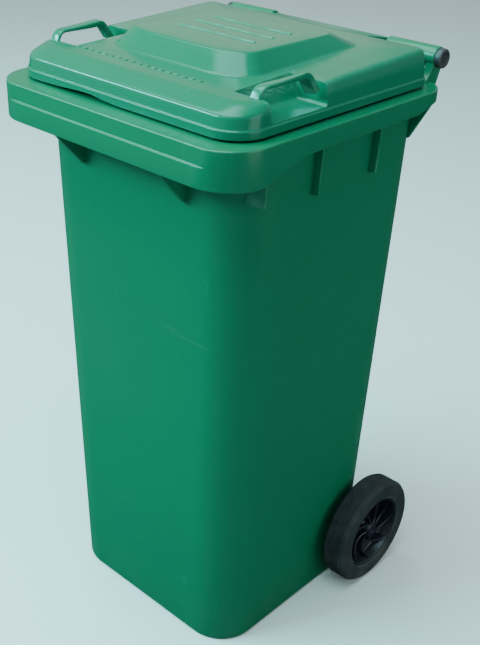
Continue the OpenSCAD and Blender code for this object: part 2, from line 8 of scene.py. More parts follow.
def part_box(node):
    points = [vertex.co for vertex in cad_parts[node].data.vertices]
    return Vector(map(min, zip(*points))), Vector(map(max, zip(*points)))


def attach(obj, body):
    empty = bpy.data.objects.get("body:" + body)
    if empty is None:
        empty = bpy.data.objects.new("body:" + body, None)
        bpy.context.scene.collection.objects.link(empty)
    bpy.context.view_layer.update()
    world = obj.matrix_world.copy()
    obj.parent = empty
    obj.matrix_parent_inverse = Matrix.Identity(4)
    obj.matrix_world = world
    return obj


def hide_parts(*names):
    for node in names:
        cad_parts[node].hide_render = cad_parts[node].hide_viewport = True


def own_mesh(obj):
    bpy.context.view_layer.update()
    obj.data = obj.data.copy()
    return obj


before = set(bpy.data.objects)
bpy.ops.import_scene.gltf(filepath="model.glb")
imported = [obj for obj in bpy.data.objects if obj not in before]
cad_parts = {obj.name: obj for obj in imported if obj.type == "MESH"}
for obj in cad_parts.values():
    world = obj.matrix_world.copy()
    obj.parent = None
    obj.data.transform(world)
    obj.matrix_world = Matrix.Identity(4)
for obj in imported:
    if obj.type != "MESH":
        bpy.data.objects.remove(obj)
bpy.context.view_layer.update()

# Lengths below are in millimetres; every mesh is brought to metres when it is made.
MM = 0.001


# ---------------------------------------------------------------- sizes from the frame

def box_mm(node):
    """A CAD node's lowest and highest corners, in millimetres."""
    low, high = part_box(node)
    return low / MM, high / MM


body_low, body_high = box_mm("body_shell")
lid_low, lid_high = box_mm("lid")
pin_low, pin_high = box_mm("hinge_pin_right")
tyre_low, tyre_high = box_mm("wheel_tyre_right")
axle_low, axle_high = box_mm("axle")
hub_low, hub_high = box_mm("wheel_hub_right")
spring_low, spring_high = box_mm("lock_spring_right")

hinge_y = (pin_low.y + pin_high.y) / 2
hinge_z = (pin_low.z + pin_high.z) / 2
axle_y = (axle_low.y + axle_high.y) / 2
axle_z = (axle_low.z + axle_high.z) / 2

# Rim
rim_w = 2 * body_high.x
rim_y0 = body_low.y
rim_d = 475.0
rim_y1 = rim_y0 + rim_d
rim_z = 903.0
rim_r = 66.0
rim_back_r = 53.0
rim_t = 4.0
apron_h = 53.0
apron_depth = 44.0  # from the front edge to where the apron starts to rise
apron_run = 113.0   # from there to where the side skirt starts
skirt_h = 28.0
skirt_lift = 9.0    # at the back
step_in = 2.5       # the rim's front above its step line, set back
brace_back = 42.0   # from the rim's back edge to the braces under its back corners

# How far the gussets, fins and braces reach below the rim's ledge
gusset_h = 108.0
corner_fin_h = 92.0
side_fin_h = 104.0
brace_h = 78.0

# Tub
wall = 4.0
under_z = rim_z - rim_t
top_w = rim_w - 54
top_y0 = rim_y0 + 59
top_y1 = rim_y1 - 6
base_w = top_w - 46
base_y0 = top_y0 + 20
base_y1 = top_y1 - 8
top_r = 74.0
base_r = 67.0
foot_r = 8.0

# Recess for the axle
recess_room = 26.0  # clear of the axle's middle, in front and above
recess_rise = 46.0  # of its roof, towards the back
axle_bore_r = 10.4

# Grips and the hinge pins' bores
grip_d = 32.0
pin_bore_r = 10.1
grip_x1 = rim_w / 2 - 35
grip_x0 = grip_x1 - 90
arm_t = 13.0

# Lid
lid_w = 2 * lid_high.x
lid_y0 = lid_low.y
lid_d = 409.0
lid_y1 = lid_y0 + lid_d
lid_z0 = lid_low.z
lid_r = 50.0
lid_back_r = 14.0
lid_t = 3.0
lip_h = 11.0
shoulder_z = lid_z0 + 29
crest_z = lid_z0 + 40
brow = 34.0
lid_rise = 13.0
panel_w = 260.0
panel_y0 = lid_y0 + 102
panel_y1 = panel_y0 + 243
panel_z = crest_z + 29

# Handle pockets and handles of the lid
pocket_y0 = lid_y0 + 62
pocket_y1 = pocket_y0 + 112
pocket_x0 = lid_w / 2 - 52
pocket_z = lid_z0 + lip_h + 3
strap_w = 17.0

# Wheel
wheel_r = (tyre_high.z - tyre_low.z) / 2
wheel_x0 = tyre_low.x
wheel_x1 = tyre_high.x
wheel_w = wheel_x1 - wheel_x0
hub_r = (hub_high.z - hub_low.z) / 2


# ---------------------------------------------------------------- curves and outlines

def mix(a, b, t):
    return a + (b - a) * t


def ease(t):
    t = min(1.0, max(0.0, t))
    return t * t * (3 - 2 * t)


def outline(width, y0, y1, front_r, back_r, corner_steps=18, side_steps=14):
    """Points of a rectangle with round corners, anticlockwise from the front right one.

    A radius is (along x, along y)."""
    corners = [(1, y0, -90, front_r), (1, y1, 0, back_r), (-1, y1, 90, back_r), (-1, y0, 180, front_r)]
    arcs = []
    for side, y, start, (rx, ry) in corners:
        cx = side * (width / 2 - rx)
        cy = y + ry if y == y0 else y - ry
        arc = []
        for i in range(corner_steps + 1):
            a = math.radians(start + 90 * i / corner_steps)
            arc.append(Vector((cx + rx * math.cos(a), cy + ry * math.sin(a), 0)))
        arcs.append(arc)
    points = []
    for k, arc in enumerate(arcs):
        after = arcs[(k + 1) % 4][0]
        points += arc
        points += [arc[-1].lerp(after, i / side_steps) for i in range(1, side_steps)]
    return points


def at_height(points, height):
    """A ring: the outline's points at a height, which is a number or a function of the point."""
    return [Vector((p.x, p.y, height(p) if callable(height) else height)) for p in points]


def round_path(keys, radii, steps=4):
    """A path through key points, with each corner rounded over its radius."""
    path = [keys[0]]
    for i in range(1, len(keys) - 1):
        back, here, ahead = keys[i - 1], keys[i], keys[i + 1]
        if radii[i] == 0:
            path.append(here)
            continue
        before = here + (back - here) * min(0.48, radii[i] / max(1e-6, (back - here).length))
        beyond = here + (ahead - here) * min(0.48, radii[i] / max(1e-6, (ahead - here).length))
        for k in range(steps + 1):
            t = k / steps
            path.append(before * (1 - t) ** 2 + here * (2 * t * (1 - t)) + beyond * t ** 2)
    return path + [keys[-1]]


def rounded_rings(keys, radii, steps=4):
    """Rings of a shell through key rings, with each key ring's edge rounded over its radius."""
    paths = [round_path(list(column), radii, steps) for column in zip(*keys)]
    return [list(ring) for ring in zip(*paths)]


# ---------------------------------------------------------------- mesh making

def mesh_object(name, points, faces, smooth_angle=32):
    """An object from points in millimetres, with its faces turned outwards."""
    mesh = bpy.data.meshes.new(name)
    mesh.from_pydata([p * MM for p in points], [], faces)
    mesh.validate()
    work = bmesh.new()
    work.from_mesh(mesh)
    bmesh.ops.remove_doubles(work, verts=work.verts, dist=1e-6)
    bmesh.ops.recalc_face_normals(work, faces=work.faces)
    work.to_mesh(mesh)
    work.free()
    obj = bpy.data.objects.new(name, mesh)
    bpy.context.scene.collection.objects.link(obj)
    smooth(obj, smooth_angle)
    return obj


def smooth(obj, angle=32):
    for face in obj.data.polygons:
        face.use_smooth = True
    obj.data.set_sharp_from_angle(angle=math.radians(angle))


def skin(name, rings, smooth_angle=32):
    """A closed solid skinned over rings, capped at both ends."""
    n = len(rings[0])
    points = [p for ring in rings for p in ring]
    faces = []
    for r in range(len(rings) - 1):
        for i in range(n):
            j = (i + 1) % n
            faces.append((r * n + i, r * n + j, (r + 1) * n + j, (r + 1) * n + i))
    faces.append(tuple(range(n - 1, -1, -1)))
    faces.append(tuple((len(rings) - 1) * n + i for i in range(n)))
    return mesh_object(name, points, faces, smooth_angle)


def plate(name, profile, start, thickness, place, edge=0.8):
    """A flat plate with round edges: a profile of (u, v) points given a thickness.

    place(u, v, w) puts a point of it in place."""
    n = len(profile)
    points = [place(u, v, w) for w in (start, start + thickness) for u, v in profile]
    faces = [tuple(range(n)), tuple(range(2 * n - 1, n - 1, -1))]
    faces += [(i, n + i, n + (i + 1) % n, (i + 1) % n) for i in range(n)]
    obj = mesh_object(name, points, faces)
    if edge:
        round_edges(obj, edge)
    return obj


def along_x(u, v, w):
    return Vector((w, u, v))


def along_y(u, v, w):
    return Vector((u, w, v))


def round_edges(obj, width, segments=2, angle=30):
    """Rounds every edge sharper than the angle, in the mesh itself."""
    bevel = obj.modifiers.new("round edges", "BEVEL")
    bevel.width = width * MM
    bevel.segments = segments
    bevel.limit_method = "ANGLE"
    bevel.angle_limit = math.radians(angle)
    apply_modifiers(obj)


def apply_modifiers(obj):
    """Turns an object's modifiers into its mesh."""
    graph = bpy.context.evaluated_depsgraph_get()
    mesh = bpy.data.meshes.new_from_object(obj.evaluated_get(graph), depsgraph=graph)
    obj.modifiers.clear()
    old = obj.data
    obj.data = mesh
    bpy.data.meshes.remove(old)


def combine(obj, other, operation):
    """Adds another closed solid to obj, cuts it away or keeps what both hold, and removes the other."""
    change = obj.modifiers.new("combine", "BOOLEAN")
    change.operation = operation
    change.solver = "MANIFOLD"
    change.object = other
    apply_modifiers(obj)
    bpy.data.objects.remove(other)


def mirrored(obj, name):
    """A copy on the bin's other side."""
    twin = obj.copy()
    twin.data = obj.data.copy()
    twin.name = name
    bpy.context.scene.collection.objects.link(twin)
    twin.data.transform(Matrix.Scale(-1, 4, (1, 0, 0)))
    twin.data.flip_normals()
    return twin


def paint(obj, material):
    obj.data.materials.clear()
    obj.data.materials.append(material)
    for face in obj.data.polygons:
        face.material_index = 0


# ---------------------------------------------------------------- geometry node trees

FLOAT, WHOLE, VECTOR = "NodeSocketFloat", "NodeSocketInt", "NodeSocketVector"
SHAPE, FINISH = "NodeSocketGeometry", "NodeSocketMaterial"


class Tree:
    """A node tree under construction, with short ways to add and join nodes."""

    def __init__(self, name, kind, inputs, outputs):
        self.tree = bpy.data.node_groups.new(name, kind)
        for label, socket, value in inputs:
            made = self.tree.interface.new_socket(name=label, in_out="INPUT", socket_type=socket)
            if value is not None:
                made.default_value = value
        for label, socket in outputs:
            self.tree.interface.new_socket(name=label, in_out="OUTPUT", socket_type=socket)
        self.inputs = self.tree.nodes.new("NodeGroupInput").outputs
        self.outputs = self.tree.nodes.new("NodeGroupOutput").inputs

    def add(self, kind, settings=(), **links):
        """Adds a node. Settings are its properties.

        Links name its inputs, each with a value or another node's output."""
        return add_node(self.tree, kind, settings, links)

    def end(self, label, source):
        self.tree.links.new(source, self.outputs[label])


def add_node(tree, kind, settings, links):
    node = tree.nodes.new(kind)
    for key, value in dict(settings).items():
        setattr(node, key, value)
    for key, value in links.items():
        numbered = key[0] == "_" and key[1:].isdigit()
        socket = node.inputs[int(key[1:]) if numbered else key.replace("_", " ")]
        if isinstance(value, bpy.types.NodeSocket):
            tree.links.new(value, socket)
        else:
            socket.default_value = value
    return node


def turned_tree():
    """Sweeps a closed profile of (radius, height) round the Z axis."""
    t = Tree("Turned Part", "GeometryNodeTree",
             [("Profile", SHAPE, None), ("Steps", WHOLE, 96), ("Finish", FINISH, None)], [("Part", SHAPE)])
    loop = t.add("GeometryNodeMeshToCurve", Mesh=t.inputs["Profile"])
    count = t.add("GeometryNodeAttributeDomainSize", {"component": "MESH"}, Geometry=t.inputs["Profile"])
    columns = t.add("ShaderNodeMath", {"operation": "ADD"}, _0=count.outputs["Point Count"], _1=1.0)
    rows = t.add("ShaderNodeMath", {"operation": "ADD"}, _0=t.inputs["Steps"], _1=1.0)
    grid = t.add("GeometryNodeMeshGrid", Vertices_X=columns.outputs[0], Vertices_Y=rows.outputs[0])
    index = t.add("GeometryNodeInputIndex")
    whole = t.add("ShaderNodeMath", {"operation": "DIVIDE"}, _0=index.outputs[0], _1=rows.outputs[0])
    column = t.add("ShaderNodeMath", {"operation": "FLOOR"}, _0=whole.outputs[0])
    row = t.add("ShaderNodeMath", {"operation": "MODULO"}, _0=index.outputs[0], _1=rows.outputs[0])
    place = t.add("ShaderNodeMath", {"operation": "MODULO"},
                  _0=column.outputs[0], _1=count.outputs["Point Count"])
    spot = t.add("GeometryNodeInputPosition")
    sample = t.add("GeometryNodeSampleIndex", {"data_type": "FLOAT_VECTOR", "domain": "POINT"},
                   Geometry=loop.outputs["Curve"], Value=spot.outputs[0], Index=place.outputs[0])
    share = t.add("ShaderNodeMath", {"operation": "DIVIDE"}, _0=row.outputs[0], _1=t.inputs["Steps"])
    angle = t.add("ShaderNodeMath", {"operation": "MULTIPLY"}, _0=share.outputs[0], _1=2 * math.pi)
    turned = t.add("ShaderNodeVectorRotate", {"rotation_type": "Z_AXIS"},
                   Vector=sample.outputs["Value"], Angle=angle.outputs[0])
    moved = t.add("GeometryNodeSetPosition", Geometry=grid.outputs["Mesh"], Position=turned.outputs[0])
    closed = t.add("GeometryNodeMergeByDistance", Geometry=moved.outputs[0], Distance=1e-6)
    real = t.add("GeometryNodeRealizeInstances", Geometry=closed.outputs[0])
    done = t.add("GeometryNodeSetMaterial", Geometry=real.outputs[0], Material=t.inputs["Finish"])
    t.end("Part", done.outputs[0])
    return t.tree


def repeat_tree():
    """Repeats a shape in even steps, each step moved and turned by the same amount about the origin."""
    t = Tree("Repeated Part", "GeometryNodeTree",
             [("Shape", SHAPE, None), ("Count", WHOLE, 8), ("Step", VECTOR, (0, 0, 0)),
              ("Turn", VECTOR, (0, 0, 0)), ("Finish", FINISH, None)], [("Part", SHAPE)])
    line = t.add("GeometryNodeMeshLine", Count=t.inputs["Count"], Offset=t.inputs["Step"])
    index = t.add("GeometryNodeInputIndex")
    turn = t.add("ShaderNodeVectorMath", {"operation": "SCALE"},
                 _0=t.inputs["Turn"], Scale=index.outputs[0])
    copies = t.add("GeometryNodeInstanceOnPoints", Points=line.outputs[0], Instance=t.inputs["Shape"],
                   Rotation=turn.outputs[0])
    real = t.add("GeometryNodeRealizeInstances", Geometry=copies.outputs[0])
    done = t.add("GeometryNodeSetMaterial", Geometry=real.outputs[0], Material=t.inputs["Finish"])
    t.end("Part", done.outputs[0])
    return t.tree


def spring_tree():
    """Winds a round wire into a helix that stands on its end."""
    t = Tree("Wound Spring", "GeometryNodeTree",
             [("Unused", SHAPE, None), ("Turns", FLOAT, 5.0), ("Radius", FLOAT, 0.005),
              ("Height", FLOAT, 0.01), ("Wire", FLOAT, 0.0005), ("Finish", FINISH, None)],
             [("Part", SHAPE)])
    coil = t.add("GeometryNodeCurveSpiral", Resolution=28, Rotations=t.inputs["Turns"],
                 Start_Radius=t.inputs["Radius"], End_Radius=t.inputs["Radius"],
                 Height=t.inputs["Height"])
    wire = t.add("GeometryNodeCurvePrimitiveCircle", Resolution=10, Radius=t.inputs["Wire"])
    swept = t.add("GeometryNodeCurveToMesh", Curve=coil.outputs[0],
                  Profile_Curve=wire.outputs[0], Fill_Caps=True)
    real = t.add("GeometryNodeRealizeInstances", Geometry=swept.outputs[0])
    done = t.add("GeometryNodeSetMaterial", Geometry=real.outputs[0], Material=t.inputs["Finish"])
    t.end("Part", done.outputs[0])
    return t.tree


def grow(obj, tree, **values):
    """Runs a geometry node tree on an object and keeps the result as its mesh."""
    change = obj.modifiers.new("grow", "NODES")
    change.node_group = tree
    sockets = {s.name: s.identifier for s in tree.interface.items_tree if s.in_out == "INPUT"}
    for label, value in values.items():
        change[sockets[label]] = value
    apply_modifiers(obj)
    work = bmesh.new()
    work.from_mesh(obj.data)
    bmesh.ops.recalc_face_normals(work, faces=work.faces)
    work.to_mesh(obj.data)
    work.free()
    smooth(obj)
    return obj


def turned(name, profile, finish, steps=96):
    """A part turned about the Z axis from a closed profile of (radius, height)."""
    mesh = bpy.data.meshes.new(name)
    n = len(profile)
    mesh.from_pydata([Vector((r, 0, h)) * MM for r, h in profile], [(i, (i + 1) % n) for i in range(n)], [])
    obj = bpy.data.objects.new(name, mesh)
    bpy.context.scene.collection.objects.link(obj)
    return grow(obj, TURNED, Steps=steps, Finish=finish)


def round_profile(points, radii, steps=3):
    """A closed profile with its corners rounded; a radius of 0 leaves a corner sharp."""
    keys = [Vector(p).to_3d() for p in points]
    n = len(keys)
    out = []
    for i in range(n):
        out += round_path([keys[i - 1], keys[i], keys[(i + 1) % n]], [0, radii[i], 0], steps)[1:-1]
    return [(p.x, p.y) for p in out]


def onto_axis(obj, x, y, z):
    """Lays a part turned about Z along the X axis, at a place in millimetres."""
    lay = Matrix(((0, 0, 1, 0), (1, 0, 0, 0), (0, 1, 0, 0), (0, 0, 0, 1)))
    obj.data.transform(Matrix.Translation(Vector((x, y, z)) * MM) @ lay)
    return obj


TURNED = turned_tree()
REPEAT = repeat_tree()
SPRING = spring_tree()


# ---------------------------------------------------------------- shared shader effects

def grain_group():
    """Fine moulded grain and the slow waviness of a large moulding, as a height."""
    t = Tree("Moulded Grain", "ShaderNodeTree",
             [("Grain", FLOAT, 0.3), ("Waviness", FLOAT, 1.0), ("Grain Scale", FLOAT, 900.0)],
             [("Height", FLOAT)])
    place = t.add("ShaderNodeTexCoord").outputs["Object"]
    fine = t.add("ShaderNodeTexNoise", Vector=place, Scale=t.inputs["Grain Scale"], Detail=2.0)
    slow = t.add("ShaderNodeTexNoise", Vector=place, Scale=7.0, Detail=1.0)
    mid = t.add("ShaderNodeTexNoise", Vector=place, Scale=38.0, Detail=1.0)
    a = t.add("ShaderNodeMath", {"operation": "MULTIPLY"}, _0=fine.outputs[0], _1=t.inputs["Grain"])
    b = t.add("ShaderNodeMath", {"operation": "MULTIPLY"}, _0=slow.outputs[0], _1=t.inputs["Waviness"])
    c = t.add("ShaderNodeMath", {"operation": "MULTIPLY_ADD"}, _0=mid.outputs[0], _1=0.12, _2=b.outputs[0])
    total = t.add("ShaderNodeMath", {"operation": "ADD"}, _0=a.outputs[0], _1=c.outputs[0])
    t.end("Height", total.outputs[0])
    return t.tree


def scuff_group():
    """Light scratches and rubbed patches from handling, as a mask from 0 to 1."""
    t = Tree("Handling Scuffs", "ShaderNodeTree",
             [("Amount", FLOAT, 0.5), ("Scale", FLOAT, 1.0)], [("Scuffs", FLOAT)])
    place = t.add("ShaderNodeTexCoord").outputs["Object"]
    sized = t.add("ShaderNodeVectorMath", {"operation": "SCALE"}, _0=place, Scale=t.inputs["Scale"])
    masks = []
    for turn, stretch in ((0.5, (3, 60, 260)), (-0.9, (190, 5, 50)), (1.3, (20, 300, 9))):
        laid = t.add("ShaderNodeMapping", Vector=sized.outputs[0],
                     Rotation=(turn, turn * 0.6, turn), Scale=stretch)
        lines = t.add("ShaderNodeTexNoise", Vector=laid.outputs[0], Scale=1.0, Detail=3.0)
        thin = t.add("ShaderNodeMapRange", Value=lines.outputs[0], From_Min=0.66, From_Max=0.74)
        masks.append(thin.outputs[0])
    where = t.add("ShaderNodeTexNoise", Vector=sized.outputs[0], Scale=6.0, Detail=3.0)
    patch = t.add("ShaderNodeMapRange", Value=where.outputs[0], From_Min=0.5, From_Max=0.68)
    both = t.add("ShaderNodeMath", {"operation": "MAXIMUM"}, _0=masks[0], _1=masks[1])
    lines = t.add("ShaderNodeMath", {"operation": "MAXIMUM"}, _0=both.outputs[0], _1=masks[2])
    kept = t.add("ShaderNodeMath", {"operation": "MULTIPLY"}, _0=lines.outputs[0], _1=patch.outputs[0])
    total = t.add("ShaderNodeMath", {"operation": "MULTIPLY", "use_clamp": True},
                  _0=kept.outputs[0], _1=t.inputs["Amount"])
    t.end("Scuffs", total.outputs[0])
    return t.tree


def edge_wear_and_highlight_group():
    """Paler convex edges, partly rubbed wear and partly a painted highlight, as a mask from 0 to 1."""
    t = Tree("Rubbed Edges and Painted Highlights", "ShaderNodeTree", [("Amount", FLOAT, 0.5)], [("Edges", FLOAT)])
    place = t.add("ShaderNodeTexCoord").outputs["Object"]
    shape = t.add("ShaderNodeNewGeometry").outputs["Pointiness"]
    # convex edges by pointiness: rubbed wear and painted highlight along them
    ridge = t.add("ShaderNodeMapRange", Value=shape, From_Min=0.515, From_Max=0.56)
    breaks = t.add("ShaderNodeTexNoise", Vector=place, Scale=60.0, Detail=4.0)
    rough = t.add("ShaderNodeMapRange", Value=breaks.outputs[0], From_Min=0.35, From_Max=0.7)
    kept = t.add("ShaderNodeMath", {"operation": "MULTIPLY"}, _0=ridge.outputs[0], _1=rough.outputs[0])
    total = t.add("ShaderNodeMath", {"operation": "MULTIPLY", "use_clamp": True},
                  _0=kept.outputs[0], _1=t.inputs["Amount"])
    t.end("Edges", total.outputs[0])
    return t.tree


def dust_group():
    """Dust and splashes that thin out above the ground, as a mask from 0 to 1."""
    t = Tree("Ground Dust", "ShaderNodeTree",
             [("Amount", FLOAT, 0.5), ("Reach", FLOAT, 0.2)], [("Dust", FLOAT)])
    place = t.add("ShaderNodeTexCoord").outputs["Object"]
    axes = t.add("ShaderNodeSeparateXYZ", Vector=place)
    low = t.add("ShaderNodeMapRange", Value=axes.outputs["Z"], From_Min=t.inputs["Reach"], From_Max=0.0)
    cloud = t.add("ShaderNodeTexNoise", Vector=place, Scale=24.0, Detail=6.0)
    ragged = t.add("ShaderNodeMapRange", Value=cloud.outputs[0], From_Min=0.35, From_Max=0.7)
    kept = t.add("ShaderNodeMath", {"operation": "MULTIPLY"}, _0=low.outputs[0], _1=ragged.outputs[0])
    total = t.add("ShaderNodeMath", {"operation": "MULTIPLY", "use_clamp": True},
                  _0=kept.outputs[0], _1=t.inputs["Amount"])
    t.end("Dust", total.outputs[0])
    return t.tree


GRAIN = grain_group()
SCUFFS = scuff_group()
EDGE_WEAR_AND_HIGHLIGHT = edge_wear_and_highlight_group()
DUST = dust_group()


# ---------------------------------------------------------------- materials

class Finish:
    """A material under construction: a Principled shader fed by the shared effects."""

    def __init__(self, name, colour, roughness, metallic=0.0, specular=0.5):
        self.material = bpy.data.materials.new(name)
        self.material.use_nodes = True
        self.tree = self.material.node_tree
        self.shader = self.tree.nodes["Principled BSDF"]
        self.shader.inputs["Base Color"].default_value = (*colour, 1)
        self.shader.inputs["Roughness"].default_value = roughness
        self.shader.inputs["Metallic"].default_value = metallic
        self.shader.inputs["Specular IOR Level"].default_value = specular
        self.colour = (*colour, 1)
        self.roughness = roughness

    def add(self, kind, settings=(), **links):
        return add_node(self.tree, kind, settings, links)

    def group(self, tree, **values):
        node = self.tree.nodes.new("ShaderNodeGroup")
        node.node_tree = tree
        for label, value in values.items():
            node.inputs[label.replace("_", " ")].default_value = value
        return node.outputs[0]

    def blend(self, share, other):
        """Blends the colour so far towards another by a mask."""
        node = self.add("ShaderNodeMix", {"data_type": "RGBA"},
                        _0=share, _6=self.colour, _7=(*other, 1))
        self.colour = node.outputs[2]

    def roughen(self, share, target):
        node = self.add("ShaderNodeMix", {"data_type": "FLOAT"}, _0=share, _2=self.roughness, _3=target)
        self.roughness = node.outputs[0]

    def done(self, height=None, strength=0.2, distance=0.001, edge=0.0):
        links = self.tree.links
        if isinstance(self.colour, bpy.types.NodeSocket):
            links.new(self.colour, self.shader.inputs["Base Color"])
        if isinstance(self.roughness, bpy.types.NodeSocket):
            links.new(self.roughness, self.shader.inputs["Roughness"])
        normal = None
        if edge:
            normal = self.add("ShaderNodeBevel", {"samples": 6}, Radius=edge * MM).outputs[0]
        if height is not None:
            bump = self.add("ShaderNodeBump", Strength=strength, Distance=distance, Height=height)
            if normal:
                links.new(normal, bump.inputs["Normal"])
            normal = bump.outputs[0]
        if normal:
            links.new(normal, self.shader.inputs["Normal"])
        return self.material


def noise_mask(finish, scale, low, high, detail=3.0):
    place = finish.add("ShaderNodeTexCoord").outputs["Object"]
    cloud = finish.add("ShaderNodeTexNoise", Vector=place, Scale=scale, Detail=detail)
    return finish.add("ShaderNodeMapRange", Value=cloud.outputs[0], From_Min=low, From_Max=high).outputs[0]


def green_plastic(name, colour, deep, pale, roughness, grain, specular):
    """Moulded polyethylene: colour drifts to deep, and pale shows where it is scuffed or rubbed, and also
    along convex edges as a painted highlight.
    """
    f = Finish(name, colour, roughness, specular=specular)
    f.blend(noise_mask(f, 3.0, 0.3, 0.75), deep)
    scuffs = f.group(SCUFFS, Amount=0.12)
    edges = f.group(EDGE_WEAR_AND_HIGHLIGHT, Amount=0.3)
    dust = f.group(DUST, Amount=0.12, Reach=0.1)
    f.blend(scuffs, pale)
    # pale along convex edges: a painted highlight, partly rubbed wear
    f.blend(edges, pale)
    f.blend(dust, (0.16, 0.19, 0.15))
    f.roughen(noise_mask(f, 11.0, 0.3, 0.8), roughness + 0.06)
    f.roughen(scuffs, 0.6)
    f.roughen(dust, 0.75)
    height = f.group(GRAIN, Grain=grain, Waviness=1.0, Grain_Scale=1100.0)
    return f.done(height, strength=0.25, distance=0.0016, edge=1.3)


def tyre_rubber():
    f = Finish("tyre rubber", (0.019, 0.022, 0.028), 0.75, specular=0.3)
    f.blend(noise_mask(f, 20.0, 0.35, 0.75, 5.0), (0.040, 0.043, 0.047))
    edges = f.group(EDGE_WEAR_AND_HIGHLIGHT, Amount=0.8)
    dust = f.group(DUST, Amount=0.45, Reach=0.12)
    # paler convex edges: partly rubbed wear, partly a painted highlight
    f.blend(edges, (0.12, 0.12, 0.11))
    f.blend(dust, (0.13, 0.12, 0.10))
    f.roughen(dust, 0.9)
    height = f.group(GRAIN, Grain=0.7, Waviness=0.3, Grain_Scale=600.0)
    return f.done(height, strength=0.35, distance=0.001, edge=0.8)


def hub_plastic():
    f = Finish("hub plastic", (0.008, 0.009, 0.020), 0.3)
    f.blend(noise_mask(f, 30.0, 0.4, 0.8), (0.014, 0.015, 0.026))
    dust = f.group(DUST, Amount=0.35, Reach=0.14)
    scuffs = f.group(SCUFFS, Amount=0.5, Scale=2.0)
    f.blend(scuffs, (0.05, 0.05, 0.07))
    f.blend(dust, (0.07, 0.065, 0.06))
    f.roughen(dust, 0.7)
    height = f.group(GRAIN, Grain=0.35, Waviness=0.6, Grain_Scale=1200.0)
    return f.done(height, strength=0.2, distance=0.001, edge=0.8)


def grey_nylon():
    f = Finish("grey nylon", (0.040, 0.033, 0.036), 0.5)
    f.blend(noise_mask(f, 45.0, 0.4, 0.75), (0.026, 0.022, 0.024))
    edges = f.group(EDGE_WEAR_AND_HIGHLIGHT, Amount=0.6)
    # paler convex edges: partly rubbed wear, partly a painted highlight
    f.blend(edges, (0.15, 0.14, 0.15))
    height = f.group(GRAIN, Grain=0.6, Waviness=0.2, Grain_Scale=1500.0)
    return f.done(height, strength=0.25, distance=0.0008, edge=0.6)


def zinc_steel():
    f = Finish("zinc steel", (0.52, 0.54, 0.57), 0.32, metallic=1.0)
    f.blend(noise_mask(f, 160.0, 0.4, 0.7, 6.0), (0.36, 0.38, 0.41))
    dust = f.group(DUST, Amount=0.3, Reach=0.15)
    f.blend(dust, (0.2, 0.17, 0.14))
    f.roughen(noise_mask(f, 80.0, 0.35, 0.7), 0.5)
    height = f.group(GRAIN, Grain=0.5, Waviness=0.1, Grain_Scale=1800.0)
    return f.done(height, strength=0.15, distance=0.0005)


# pale is the scuff colour and also the painted highlight along convex edges
TUB_GREEN = green_plastic("tub green polyethylene", colour=(0.001, 0.160, 0.072),
                          deep=(0.001, 0.148, 0.066), pale=(0.15, 0.42, 0.30),
                          roughness=0.27, grain=0.10, specular=0.4)
LID_GREEN = green_plastic("lid green polyethylene", colour=(0.002, 0.165, 0.085),
                          deep=(0.002, 0.153, 0.078), pale=(0.18, 0.45, 0.33),
                          roughness=0.13, grain=0.18, specular=0.3)
TYRE = tyre_rubber()
HUB = hub_plastic()
NYLON = grey_nylon()
STEEL = zinc_steel()


# ---------------------------------------------------------------- tub

def tub_outline(z, inset=0.0):
    """The tub's outline at a height, moved in from its outer wall."""
    t = z / under_z
    r = mix(base_r, top_r, t) - inset
    return outline(mix(base_w, top_w, t) - 2 * inset, mix(base_y0, top_y0, t) + inset,
                   mix(base_y1, top_y1, t) - inset, (r, r), (r, r))


def tub_ring(z, inset=0.0):
    return at_height(tub_outline(z, inset), z)


def skirt_z(point):
    """Lower edge of the rim's skirt.

    A deep apron in front rises to the side skirt, and the skirt lifts a little at the back."""
    rise = ease((point.y - rim_y0 - apron_depth) / apron_run)
    lift = skirt_lift * ease((point.y - rim_y1 + 80) / 40)
    return rim_z - mix(apron_h, skirt_h, rise) + lift


def step_z(share):
    """Height of a line along the rim's skirt, as a share of the way from its lower edge to the ledge."""
    return lambda p: mix(skirt_z(p), rim_z, share)


def rim_ring(z, inset=0.0, front=0.0):
    """The rim's outline, with its front face set back by a flat step."""
    front_r, back_r = rim_r - inset, rim_back_r - inset
    points = outline(rim_w - 2 * inset, rim_y0 + inset, rim_y1 - inset,
                     (front_r, front_r), (back_r, back_r))
    for p in points:
        p.y = max(p.y, rim_y0 + front)
    return at_height(points, z)


def tub_shell():
    """The moulded tub and its rim, as one closed shell."""
    levels = (60, 450, 840)
    foot = 14
    keys = [(tub_ring(0, foot), 0), (tub_ring(0), foot_r)]
    keys += [(tub_ring(z), 0) for z in levels]
    keys += [
        (tub_ring(under_z), 3), (rim_ring(under_z, rim_t), 1.5),
        (rim_ring(skirt_z, rim_t), 0.8), (rim_ring(skirt_z), 1.4),
        (rim_ring(step_z(0.535)), 0.5), (rim_ring(step_z(0.552), 0, step_in), 1.4),
        (rim_ring(rim_z, 0, step_in), 2.4), (at_height(tub_outline(under_z, wall), rim_z), 2.5)]
    keys += [(tub_ring(z, wall), 0) for z in levels[::-1]]
    keys += [(at_height(tub_outline(0, wall), wall), foot_r),
             (at_height(tub_outline(0, foot), wall), 0)]
    return skin("tub", rounded_rings([k for k, r in keys], [r for k, r in keys]))


def recess_profile(grow_by):
    """Section (y, z) of the recess across the back of the tub's foot."""
    y0 = axle_y - recess_room - grow_by
    z1 = axle_z + recess_room + grow_by
    y1 = rim_y1 + wheel_r
    rise = recess_rise * (y1 - y0) / (base_y1 - y0)
    return [(y0, -wheel_r), (y1, -wheel_r), (y1, z1 + rise), (y0, z1)]


